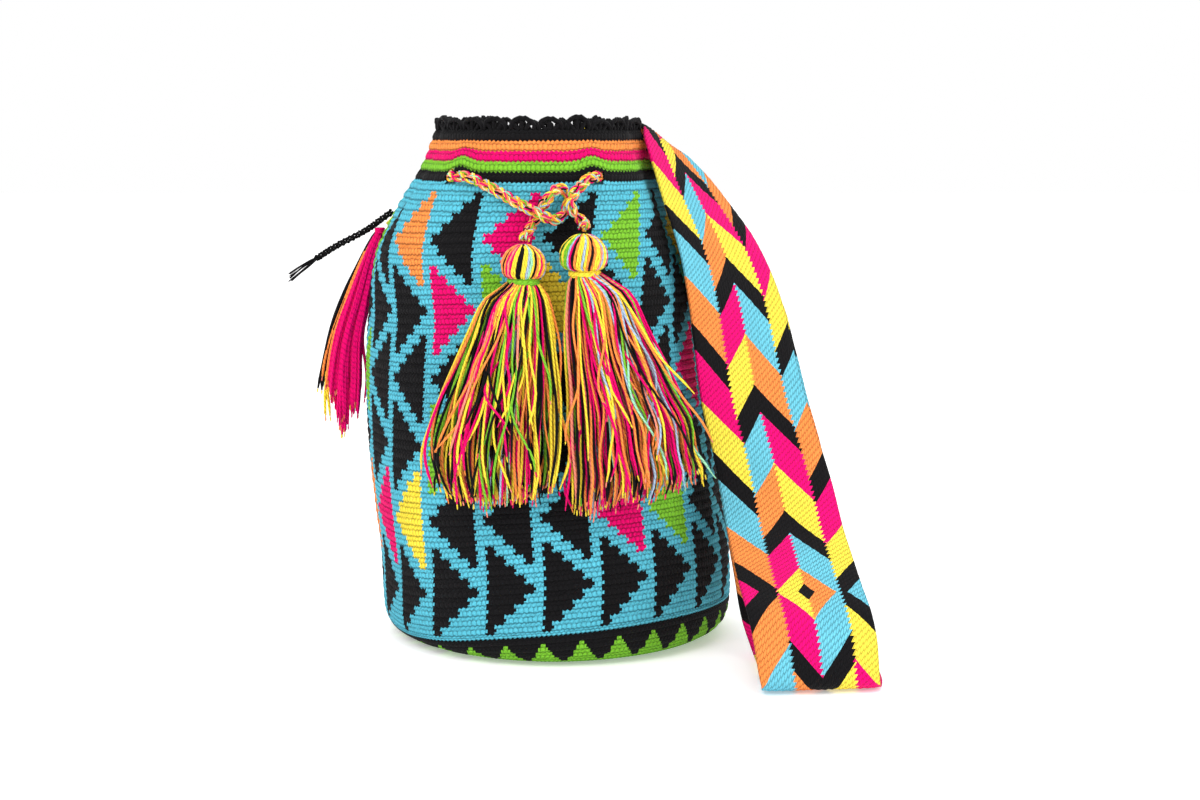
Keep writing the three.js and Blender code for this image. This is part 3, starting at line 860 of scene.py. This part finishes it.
for scallop in range(40):
    middle = -58.5 + scallop * 3 + rng.normal(0, 0.12)
    tall = 6.6 + rng.normal(0, 0.7)
    t = np.linspace(0, 1, 15)
    for lift, out, radius in ((-0.2, -0.7, 1.35), (-0.9, -2.3, 1.2)):
        across = middle - 1.3 * np.cos(math.pi * t) + 0.08 * np.sin(5 * math.pi * t)
        rise = 0.2 + (tall + lift) * np.sin(math.pi * t) ** 0.8 + 0.3 * np.sin(11 * math.pi * t)
        arch = np.array([rim_point(a, r, out) for a, r in zip(across, rise)])
        lace.add(arch, radius, YARN["black"])
    for fan in (-0.62, -0.1, 0.55):
        foot_at = middle + fan * 0.5
        tip = middle + fan * 1.9 + rng.normal(0, 0.08)
        reach = tall * (1 - 0.35 * abs(fan)) - 0.4
        line = [rim_point(foot_at + (tip - foot_at) * u, -0.6 + (reach + 0.6) * u,
                          -1.5 + 0.5 * math.sin(math.pi * u)) for u in np.linspace(0, 1, 6)]
        lace.add(np.array(line), 1.15, YARN["black"])
lace = lace.make("lace_edge", "bag")
dress(lace, strand_yarn, "bag_body")

# %% [markdown]
# ## Strap
# The strap is a woven band. Three lines of points run along it: its two edges and its middle. A
# curve through the same row of all three gives every point across it.

# %% Strap rows
STRAP_THICK = 2.6
GAP = 0.35
STRAP_WIDE = 68.0


def hug(first, last):
    """A row that lies on the bag; each end is (degrees, height, distance)."""
    ends = [first, [(a + b) / 2 for a, b in zip(first, last)], last]
    return [on_bag(math.radians(d), z, out + pleat_depth(z) + STRAP_THICK / 2 + GAP, False)
            for d, z, out in ends]


def flat(a, b, bulge=0.0):
    """A row that hangs or lies free."""
    a, b = np.array(a, float), np.array(b, float)
    outward = np.array([b[1] - a[1], a[0] - b[0], 0])
    return [a, (a + b) / 2 + outward / np.linalg.norm(outward) * bulge, b]


strap_rows = [
    hug([153, 192, 2.5], [111, 192, 2.5]), hug([153, 212, 1.5], [111, 212, 1.5]),
    hug([154, 238, 1.5], [111, 228, 1.5]), hug([155, 272, 1.5], [110.5, 238, 2]),
    hug([156, 288, 2.5], [110, 242, 3.5]), hug([158, 295, 6], [110, 243, 6.5]),
    hug([164, 297, 11], [114, 242, 8.5]), hug([178, 300, 11.5], [134, 241, 10.5]),
    hug([196, 302, 11], [172, 239, 9.5]), hug([216, 303, 9.5], [206, 238, 8.5]),
    hug([238, 304, 6], [230, 241, 6]),
    flat((46, 35, 304), (70, 74, 266), 4), flat((52, 12, 303), (74, 62, 280), 3),
    flat((52.5, -9, 296), (78, 50, 284), 2), flat((57, -24, 280), (89.3, 36, 274), 1),
    flat((63.5, -38, 258), (104, 18, 255.5)), flat((72, -48, 231), (120, 0, 232)),
    flat((77, -56, 203), (133, -16, 201)), flat((80.5, -63, 175), (140, -28, 171)),
    flat((84, -68, 146), (147, -41, 142)), flat((90.5, -75, 118), (155.3, -53, 114)),
    flat((94.3, -83, 97), (160.5, -65, 95)), flat((97.5, -99, 77), (164.4, -84, 75)),
    flat((99.8, -118, 65), (167.2, -106, 63)), flat((102.3, -141, 53), (170, -131, 51)),
    flat((105.3, -162, 42), (172.9, -153, 40)), flat((108.1, -169.4, 28.6), (174.8, -161, 28)),
    flat((110.2, -171.4, 14.5), (175.8, -163.5, 13)), flat((111.9, -171, 6), (176.5, -163, 6)),
    flat((112.7, -165.4, 2.3), (177.8, -157.4, 2.3)), flat((113.5, -154, 1.6), (180, -146, 1.6)),
    flat((114, -130, 1.6), (181, -122, 1.6)), flat((114.5, -104, 1.6), (181, -96, 1.6)),
    flat((112.5, -82, 6), (178, -71, 6)), flat((108, -70, 20), (173, -54, 20)),
    flat((103.5, -65, 46), (168, -45, 46)), flat((98, -62, 78), (162, -38, 78)),
    flat((94, -58, 112), (157, -32, 112)), flat((87, -52, 146), (149, -22, 142)),
    flat((81, -48, 175), (142, -14, 171)), flat((77.5, -44, 203), (134, -2, 199)),
    flat((75, -35, 224), (119, 16, 216)), flat((72.5, -28.5, 237), (107, 30, 228), 1),
    flat((71.5, -25, 242.5), (102, 37, 233), 1), flat((71, -23.5, 243.5), (97, 41, 233.5), 2),
    flat((71.5, -26.5, 238), (92.5, 40, 228), 3),
    hug([-75, 227, 1.5], [-116, 219, 2]), hug([-74, 212, 1.5], [-116, 209, 1.5]),
    hug([-74, 192, 2.5], [-116, 192, 2.5]),
]
print(len(strap_rows), "rows along the strap")


# %% Strap surface
PER_SPAN = 14
LOWEST_ROW = 24
lines = [curve_knots([row[k] for row in strap_rows], PER_SPAN) for k in range(3)]
middle_far = distance_along(lines[1])
mirror_at = middle_far[LOWEST_ROW * PER_SPAN] + 6
WEAVE = 1.7
strap_steps = int(round(middle_far[-1] / WEAVE))
even = np.linspace(0, middle_far[-1], strap_steps + 1)
edge_a, middle, edge_b = [np.stack([np.interp(even, middle_far, line[:, k]) for k in range(3)], -1)
                          for line in lines]
print("strap", round(middle_far[-1]), "mm long, pattern mirrored at", round(mirror_at), "mm")

ACROSS = 34
t = np.linspace(0, 1, ACROSS + 1)[None, :, None]
sheet = (edge_a[:, None] * (1 - t) * (1 - 2 * t) + middle[:, None] * 4 * t * (1 - t)
         + edge_b[:, None] * t * (2 * t - 1))
along = np.gradient(sheet, axis=0)
sideways = np.gradient(sheet, axis=1)
strap_normal = np.cross(along, sideways)
strap_normal /= np.linalg.norm(strap_normal, axis=-1)[..., None]

# %% [markdown]
# ## Strap pattern
# The woven zigzag repeats every 156 mm and is mirrored at the strap's lowest point in front.
# Across it, four columns slope up, down, up and down, each starting at its own place in the
# repeat, which makes the V shapes. The material reads them from the strap's UV, in millimetres.

# %% Strap colours
CYCLE = 156.0
SLOPE = 1.29
BANDS = [(30.5, "turquoise"), (61, "orange"), (78, "black"), (108.5, "magenta"), (139, "yellow"),
         (156, "black")]
STRAP_YARN = dict(YARN, turquoise=linear("69BFD4"), orange=linear("F38C46"), magenta=linear("EE0573"),
                  yellow=linear("F6DE4A"))


PATTERN_START = 246.0
PATTERN_COLUMNS = [(0.0, 0.0, -SLOPE), (19.4, 20.0, SLOPE), (35.4, 118.6, -SLOPE),
                   (54.4, 61.0, SLOPE)]      # first edge, shift along the strap, slope
print("strap bands end at", [band[0] for band in BANDS], "mm")

# %% Strap mesh
cross = np.concatenate([np.arange(ACROSS + 1), np.arange(ACROSS, -1, -1)])
side = np.concatenate([np.full(ACROSS + 1, -1.0), np.full(ACROSS + 1, 1.0)])
share = cross / ACROSS
thick = STRAP_THICK / 2 * np.sqrt(1 - np.abs(2 * share - 1) ** 9 * 0.85)
rib = np.where(cross % 2 == 0, 0.16, -0.16)
around = len(cross)
ribs = rib[None, :] + 0.07 * np.random.default_rng(5).normal(size=(strap_steps + 1, around))
strap_points = sheet[:, cross] + strap_normal[:, cross] * (side * (thick + ribs))[..., None]
strap_faces = grid_faces(strap_steps + 1, around, close=True)
row_of = np.arange(strap_steps)[:, None]
column_of = np.arange(around)[None, :]
next_column = (column_of + 1) % around
w_low = cross[column_of] / ACROSS * STRAP_WIDE
w_high = cross[next_column] / ACROSS * STRAP_WIDE
low, high = row_of * WEAVE + 0 * w_low, (row_of + 1) * WEAVE + 0 * w_low
w_low, w_high = w_low + 0 * low, w_high + 0 * low
corner_uv = np.stack([np.stack([w_low, low], -1), np.stack([w_high, low], -1),
                      np.stack([w_high, high], -1), np.stack([w_low, high], -1)], 2)
strap = make_piece("woven_strap", strap_points.reshape(-1, 3), strap_faces, "bag",
                   corner_uv.reshape(-1, 2))
edit = bmesh.new()
edit.from_mesh(strap.data)
bmesh.ops.holes_fill(edit, edges=[e for e in edit.edges if e.is_boundary], sides=0)
bmesh.ops.recalc_face_normals(edit, faces=edit.faces)
edit.to_mesh(strap.data)
edit.free()

# %% Strap material
woven, net, shader = new_material("woven band")
uv = net.node("ShaderNodeSeparateXYZ")
net.put(uv.inputs[0], net.node("ShaderNodeUVMap", uv_map="yarn").outputs[0])
rib_width = STRAP_WIDE / ACROSS
column = net.math("DIVIDE", uv.outputs[0], rib_width)
beat = net.math("ADD", net.math("DIVIDE", uv.outputs[1], 2 * WEAVE), net.math("MULTIPLY", column, 0.5))
beat = net.math("ADD", beat, net.math("MULTIPLY", net.math("FRACT", column), 0.35))
beats = net.math("ABSOLUTE", net.math("SINE", net.math("MULTIPLY", beat, math.pi)))
stitches = net.math("POWER", beats, 0.55)
ribs = net.math("ABSOLUTE", net.math("SINE", net.math("MULTIPLY", column, math.pi)))
ribs = net.math("POWER", ribs, 0.5)
form = net.math("MULTIPLY", stitches, net.remap(ribs, 0.0, 1.0, 0.45, 1.0))
far = net.math("SUBTRACT", uv.outputs[1], mirror_at)
down = net.math("SUBTRACT", PATTERN_START, net.math("ABSOLUTE", far))
tooth_part = net.math("FRACT", net.math("DIVIDE", far, 2 * WEAVE))
toothed = net.math("MULTIPLY", net.math("SUBTRACT", tooth_part, 0.5), 2.2)
toothed = net.math("ADD", uv.outputs[0], toothed)
place = None
for start, shift, slope in PATTERN_COLUMNS:
    inside = net.math("MULTIPLY", net.math("SUBTRACT", uv.outputs[0], start), slope)
    here = net.math("ADD", net.math("ADD", down, inside), shift)
    if place is None:
        place = here
    else:
        past = net.math("GREATER_THAN", toothed, start)
        change = net.math("MULTIPLY", past, net.math("SUBTRACT", here, place))
        place = net.math("ADD", place, change)
ramp = net.node("ShaderNodeValToRGB")
ramp.color_ramp.interpolation = "CONSTANT"
starts = [0.0] + [band[0] / CYCLE for band in BANDS[:-1]]
for number, (position, band) in enumerate(zip(starts, BANDS)):
    stop = ramp.color_ramp.elements[number] if number < 1 else ramp.color_ramp.elements.new(position)
    stop.position = position
    stop.color = STRAP_YARN[band[1]]
ramp.color_ramp.elements.remove(ramp.color_ramp.elements[-1])
net.put(ramp.inputs[0], net.math("FRACT", net.math("DIVIDE", place, CYCLE)))
centre = net.math("MULTIPLY", net.math("ABSOLUTE", net.math("SUBTRACT", uv.outputs[0], 35.4)), 1.6)
diamond = net.math("LESS_THAN", net.math("ADD", net.math("ABSOLUTE", far), centre), 7.5)
colour = net.mix(diamond, ramp.outputs["Color"], STRAP_YARN["black"])
# painted shade: the remapped form darkens the colour in the weave's grooves, while form also raises the
# surface
finish_yarn(net, shader, colour, net.remap(form, 0.0, 0.7, 0.35, 1.0), form, 0.7, fibre_scale=1500)
dress(strap, woven, "shoulder_strap")


# %% Strap seams
def whip_stitch(name, node, start, end, low, high, count=13):
    seam = Strands()
    out = 2.5 + STRAP_THICK + 2 * GAP + 0.9
    knots = [on_bag(math.radians(start + (end - start) * i / count), low if i % 2 == 0 else high,
                    out + pleat_depth(low), False) for i in range(count + 1)]
    seam.add(smooth_curve(knots, count * 8), 0.6, YARN["black"], 6)
    made = seam.make(name, "bag")
    dress(made, strand_yarn, node)


whip_stitch("left_end_stitches", "strap_seam_left", 114, 150, 194, 199)
whip_stitch("right_end_stitches", "strap_seam_right", -113, -77, 194, 199)

# %% [markdown]
# ## Tassels
# Each tassel is a bundle of a few hundred strands. They pass over a round head, are tied below
# it, and fan out into a skirt. `rows` are the centre, height, half width and half depth of the
# bundle, and each strand keeps its own place in that bundle all the way down.


# %% Tassel strands
def bundle_point(rows, z, place):
    """The point of the bundle at height z for a place in the unit disc."""
    rows = np.asarray(rows, float)[::-1]
    at = rows[:, 2]
    cx, cy, a, b = [through(list(zip(at, rows[:, k])), z) for k in (0, 1, 3, 4)]
    return np.stack([cx + a * place[0], cy + b * place[1], z], -1)


def frayed_tip(strands, end, way, paint, rng, size=1.0):
    """The last few millimetres of a cut yarn, where its plies come apart."""
    for _ in range(3):
        aim = np.asarray(way, float) + rng.normal(0, 0.45, 3) * (1, 0.6, 0.4)
        fray = end + aim / np.linalg.norm(aim) * np.linspace(0, rng.uniform(1.5, 3.6) * size, 3)[:, None]
        strands.add(fray, 0.4, paint, 4)


def tassel_strand(strands, rows, place, low, paint, rng, radius, sway, wave, forward=0.0):
    top = rows[0][2]
    u = np.linspace(0, 1, 20)
    z = top + (low - top) * u
    line = bundle_point(rows, np.maximum(z, rows[-1][2]), place)
    line[:, 2] = z
    start = rng.uniform(0, TAU, 2)
    turns = rng.uniform(1.2, 3.4)
    swing = np.sin(turns * math.pi * u + start[0]) - math.sin(start[0])
    line[:, 0] += sway[0] * u**1.5 + wave * swing * u
    line[:, 1] += (sway[1] * u**1.5 + 0.5 * wave * np.sin(turns * math.pi * u + start[1]) * u
                   - forward * u * (1 - u) * 4)
    line[:, 1] = np.maximum(line[:, 1], -131.5)
    strands.add(line, radius, np.tile(YARN[paint], (20, 1)), 5)
    tip = YARN[str(rng.choice(["salmon", "yellow", "magenta", "orange", paint, paint]))]
    frayed_tip(strands, line[-1], line[-1] - line[-3], tip, rng)


def tassel_skirt(strands, rows, count, paints, rng, bottom, radius=0.88, strays=34):
    for k in range(count):
        angle = k * 2.39996 + rng.normal(0, 0.1)
        reach = math.sqrt((k + 0.5) / count)
        place = np.array([math.cos(angle), math.sin(angle)]) * reach * 0.97
        sway = rng.normal(0, 3.4, 2) * (1, 0.5)
        tassel_strand(strands, rows, place, bottom(place, rng), paints(place, rng), rng,
                      radius * rng.uniform(0.72, 1.0), sway, rng.normal(0, 2.6))
    for k in range(strays):
        place = np.array([rng.uniform(-0.6, 0.6), -0.95])
        sway = (rng.normal(0, 11), -2.0)
        low = rows[0][2] - (rows[0][2] - bottom(place, rng)) * rng.uniform(0.6, 0.95)
        tassel_strand(strands, rows, place, low, paints(place, rng), rng, radius * 0.8, sway,
                      rng.normal(0, 4.6), 2.0)


def tassel_head(strands, centre, radius, neck, paints, rng, count=52):
    """Strands that run over the ball from pole to neck."""
    neck = np.array(neck, float)
    for k in range(count):
        angle = k / count * TAU
        tilt = np.radians(np.concatenate([np.linspace(3, 118, 12), [130]]))
        r = radius * np.sin(tilt) * 0.985
        z = centre[2] + 0.92 * radius * np.cos(tilt)
        twist = angle + 0.18 * np.cos(tilt)
        line = np.stack([centre[0] + r * np.cos(twist), centre[1] + r * np.sin(twist), z], -1)
        foot = np.array([[neck[0] + 6.6 * math.cos(angle), neck[1] + 6.6 * math.sin(angle), neck[2] + d]
                         for d in (1.6, -2.4)])
        line = np.vstack([line[:-1], foot])
        line += rng.normal(0, 0.14, line.shape)
        strands.add(smooth_curve(line, 20), 0.82, YARN[paints(angle, rng)], 5)


TIE_TURNS = [(7.7, -1.2), (7.8, -0.2), (7.7, 0.8), (7.6, 1.6), (8.5, -0.8), (8.6, 0.2), (8.4, 1.1)]


def neck_tie(name, node, body, neck, colour):
    """Seven turns of yarn in two layers; TIE_TURNS holds each turn's radius and height."""
    tie = Strands()
    for layer, (reach, low) in enumerate(TIE_TURNS):
        turn = np.linspace(0, TAU, 29) + layer
        loop = np.stack([neck[0] + reach * np.cos(turn), neck[1] + reach * np.sin(turn),
                         neck[2] + low + 0.35 * np.sin(turn + layer)], -1)
        tie.add(loop, 0.62, colour, 6, False)
    made = tie.make(name, body)
    dress(made, strand_yarn, node)

# %% [markdown]
# ## The two tassels
# Both are cut from the same hank of mixed yarn: orange, yellow, magenta and lime, with a little
# black and pale blue. Here and there a lock of one colour stays together.

# %% Left tassel
LEFT_NECK = (-16.2, -109.3, 217.2)
RIGHT_NECK = (17.6, -110.2, 221.6)
LEFT_ROWS = [(-16.2, -109.3, 219.5, 6, 6), (-16.6, -109.4, 216, 8.5, 7.5), (-17.5, -109.8, 213.2, 13, 8.2),
             (-20, -111, 207, 19, 9.2), (-22.5, -113, 190, 24.5, 9.8), (-25, -114.5, 174, 28.5, 10),
             (-27.5, -116, 157, 32.5, 10.3), (-30, -117.5, 141, 35, 10.6), (-32, -118.5, 124, 37, 11),
             (-32, -119.5, 108, 35, 10.8), (-31.5, -119.5, 99, 32, 9.5)]
RIGHT_ROWS = [(17.6, -110.2, 224, 6, 6), (18.4, -110.4, 220.4, 8.5, 7.5), (21, -110.8, 217.6, 13, 8.2),
              (25.5, -112, 210.5, 19, 9.2), (29, -113.7, 195, 23.5, 9.7), (34.3, -115.2, 174, 28, 10),
              (39, -116.3, 157, 31.5, 10.3), (43.5, -117.5, 141, 36.5, 10.6), (45, -118.3, 124, 37.5, 11),
              (47, -118.7, 111, 38, 10.8), (44, -118.8, 95, 34, 9.5)]


def pick(rng, *choices):
    """One of (weight, colour) pairs."""
    weights = np.array([c[0] for c in choices], float)
    return choices[int(rng.choice(len(choices), p=weights / weights.sum()))][1]


MIXED = [(4.6, "orange"), (4.6, "yellow"), (3.6, "magenta"), (2.2, "lime"), (3.2, "black"),
         (1.3, "blue_grey"), (1.2, "mint"), (1.2, "salmon")]


def mixed_paint(angle, rng):
    return pick(rng, *MIXED)


def left_paint(place, rng):
    """Strands of one colour tend to lie together, so a wave over the place changes the mixture."""
    if math.sin(19 * place[0] + 4 * place[1]) > 0.72:
        return pick(rng, (3, "lime"), (3, "yellow"), (1, "magenta"), (1, "black"))
    if math.sin(23 * place[0] + 2) > 0.8:
        return pick(rng, (3, "magenta"), (2, "black"), (1, "orange"))
    return pick(rng, *MIXED)


def left_bottom(place, rng):
    return 99 + 13 * abs(place[0]) ** 3 + rng.normal(0, 2.6) + (rng.random() < 0.15) * rng.uniform(4, 16)


rng = np.random.default_rng(21)
left = Strands()
tassel_skirt(left, LEFT_ROWS, 270, left_paint, rng, left_bottom)
tassel_head(left, (-16, -108.8, 226.2), 12.0, LEFT_NECK, mixed_paint, rng)
left = left.make("left_tassel_strands", "left_tassel")
dress(left, strand_yarn, "tassel_left")
neck_tie("left_neck_tie", "tassel_left_tie", "left_tassel", LEFT_NECK, YARN["lime"])


# %% Right tassel
def right_paint(place, rng):
    if math.sin(21 * place[0] + 3 * place[1] + 1) > 0.7:
        return pick(rng, (4, "magenta"), (2, "orange"), (2, "black"), (1, "blue_grey"))
    return pick(rng, *MIXED)


def right_bottom(place, rng):
    return 102 + 11 * place[0] + rng.normal(0, 2.6) + (rng.random() < 0.15) * rng.uniform(4, 16)


rng = np.random.default_rng(27)
right = Strands()
tassel_skirt(right, RIGHT_ROWS, 270, right_paint, rng, right_bottom)
tassel_head(right, (17, -110, 231.2), 12.8, RIGHT_NECK, mixed_paint, rng)
right = right.make("right_tassel_strands", "right_tassel")
dress(right, strand_yarn, "tassel_right")
neck_tie("right_neck_tie", "tassel_right_tie", "right_tassel", RIGHT_NECK, YARN["yellow"])

# %% [markdown]
# ## Side fringe and braid
# On the left side hang a fringe of loose strands, mostly magenta, and a short braid of black yarn
# with an open end.

# %% Side fringe
FRINGE_ROWS = [(-106.4, 14, 241, 1.4, 2.5), (-109.7, 14, 234, 2.8, 4), (-113.6, 14, 224, 4, 5.5),
               (-120.2, 14, 202, 7, 7.3), (-128, 14, 174, 9.5, 9), (-130.5, 14, 150, 11.5, 9.5),
               (-131, 14, 124, 11, 8.5)]

# each lock: place in the bundle, lower end, colour, number of strands
LOCKS = [(0.35, 0.6, 131, "orange", 6), (-1.0, 0.0, 143, "black", 9),
         (-0.84, -0.15, 150, "orange", 6), (-0.95, 0.3, 128, "yellow", 3),
         (-0.2, 0.3, 129, "magenta", 16), (0.6, 0.35, 138, "magenta", 14),
         (-0.7, -0.15, 150, "magenta", 16), (0.85, -0.15, 136, "magenta", 16),
         (-0.45, -0.5, 141, "magenta", 20), (-0.1, -0.65, 127, "magenta", 20),
         (0.25, -0.6, 124, "magenta", 20), (0.6, -0.5, 132, "magenta", 18),
         (0.05, 0, 128, "magenta", 14), (-0.35, 0.1, 124, "yellow", 4)]
rng = np.random.default_rng(23)
fringe = Strands()
for place_x, place_y, low, paint, count in LOCKS:
    sway = rng.normal(0, 1.2, 2)
    wave = rng.normal(0, 1.0)
    for _ in range(count):
        place = np.array([place_x, place_y]) + rng.normal(0, 0.1, 2)
        dye = paint if rng.random() < 0.98 else "orange"
        tassel_strand(fringe, FRINGE_ROWS, place, low + rng.normal(0, 3.5), dye, rng,
                      0.95, sway + rng.normal(0, 0.45, 2), wave + rng.normal(0, 0.35))
for turn in range(3):
    angle = np.linspace(0, TAU, 17)
    loop = np.stack([-107.2 + 2.6 * np.cos(angle), 14 + 3.4 * np.sin(angle),
                     np.full(17, 238.6 + turn * 1.1)], -1)
    fringe.add(loop, 0.7, YARN["magenta"], 5, False)
fringe = fringe.make("side_fringe_strands", "fringe")
dress(fringe, strand_yarn, "side_fringe")

# %% Side braid
BRAID_ROUTE = [(-99.4, 14, 251.4), (-106.4, 14, 246.4), (-114.5, 14, 240.6), (-124, 13.5, 235.4),
               (-133, 13, 230.8), (-146, 12, 222.6), (-155, 11.5, 216.4), (-162.6, 11, 211)]
braid_line = smooth_curve(BRAID_ROUTE, 280)
rng = np.random.default_rng(24)
black_braid = Strands()
bound = braid_line[:205]
for ply in ply_paths(bound, 3, 1.35, 10.0, step=0.7)[0]:
    for yarn in ply_paths(ply, 2, 0.4, 5.0, step=0.7)[0]:
        black_braid.add(yarn, 0.55, np.tile(YARN["black"], (len(yarn), 1)), 5)
loose = braid_line[195:]
u = np.linspace(0, 1, len(loose))
for _ in range(9):
    aim, curl = rng.uniform(-1, 1, 3) * (1.2, 1.8, 3.0), rng.uniform(-0.8, 0.8, 3)
    line = loose + aim * (u**0.8)[:, None] + curl * np.sin(u * rng.uniform(3, 8))[:, None]
    black_braid.add(line[::5], 0.42, np.tile(YARN["black"], (len(line[::5]), 1)), 4)
black_braid = black_braid.make("side_braid_strands", "bag")
dress(black_braid, strand_yarn, "side_braid")
